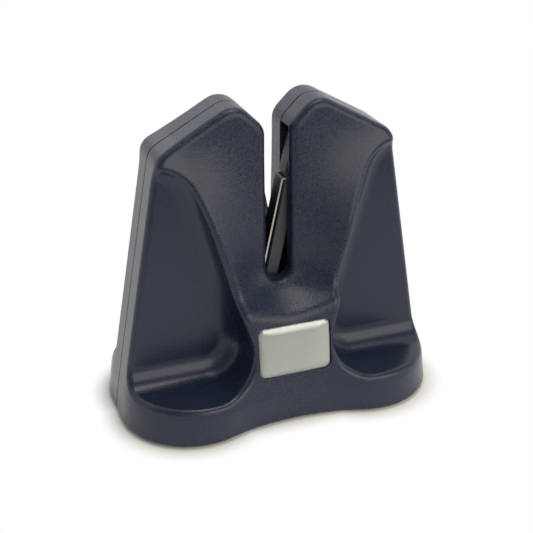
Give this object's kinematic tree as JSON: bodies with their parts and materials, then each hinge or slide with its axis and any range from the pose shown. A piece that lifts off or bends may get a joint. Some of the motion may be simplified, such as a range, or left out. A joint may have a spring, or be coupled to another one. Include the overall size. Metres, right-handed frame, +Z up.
{
  "type": "knife sharpener",
  "caption": "Free-standing pull-through knife sharpener: a two-tower plastic housing with finger trays and a slot where sprung, steel-faced arms cross.",
  "frame": {"origin": "on the table, under the middle of the housing, at the underside of the feet", "axes": "+Z up, -Y towards the front with the badge, +X to the right across the two towers"},
  "size_m": [0.1194, 0.0684, 0.1142],
  "materials": {
    "housing_plastic": "satin navy moulding with a fine grain",
    "badge_silver": "flat silver-grey label sheet",
    "badge_clear": "clear domed resin",
    "arm_plastic": "dark grey glass-filled plastic",
    "strip_steel": "ground hardened steel strip",
    "pin_steel": "ground pin",
    "bush_brass": "turned sleeve",
    "spring_steel": "drawn spring wire",
    "pad_rubber": "black rubber",
    "screw_steel": "zinc-plated screws",
    "foot_rubber": "black rubber"
  },
  "bodies": {
    "housing": {"front_shell": "housing_plastic", "rear_shell": "housing_plastic", "badge_plate": "badge_silver", "badge_dome": "badge_clear", "front_pivot_pin": "pin_steel", "rear_pivot_pin": "pin_steel", "front_spring": "spring_steel", "rear_spring": "spring_steel", "front_stop_pad": "pad_rubber", "rear_stop_pad": "pad_rubber", "housing_screws": "screw_steel", "foot_front_left": "foot_rubber", "foot_front_right": "foot_rubber", "foot_rear_left": "foot_rubber", "foot_rear_right": "foot_rubber"},
    "front_arm": {"front_arm": "arm_plastic", "front_strip": "strip_steel", "front_pivot_bush": "bush_brass"},
    "rear_arm": {"rear_arm": "arm_plastic", "rear_strip": "strip_steel", "rear_pivot_bush": "bush_brass"}
  },
  "joints": [
    {"name": "front_arm_swing", "type": "hinge", "parent": "housing", "child": "front_arm", "pos_m": [-0.0045, 0, 0.04], "axis": [0, 1, 0], "range_deg": [0, 8], "stiffness_Nm_per_rad": 2.9, "springref_deg": -5.73, "deforming": ["front_spring"]},
    {"name": "rear_arm_swing", "type": "hinge", "parent": "housing", "child": "rear_arm", "pos_m": [0.0045, 0, 0.04], "axis": [0, -1, 0], "range_deg": [0, 8], "stiffness_Nm_per_rad": 2.9, "springref_deg": -5.73, "deforming": ["rear_spring"]}
  ]
}
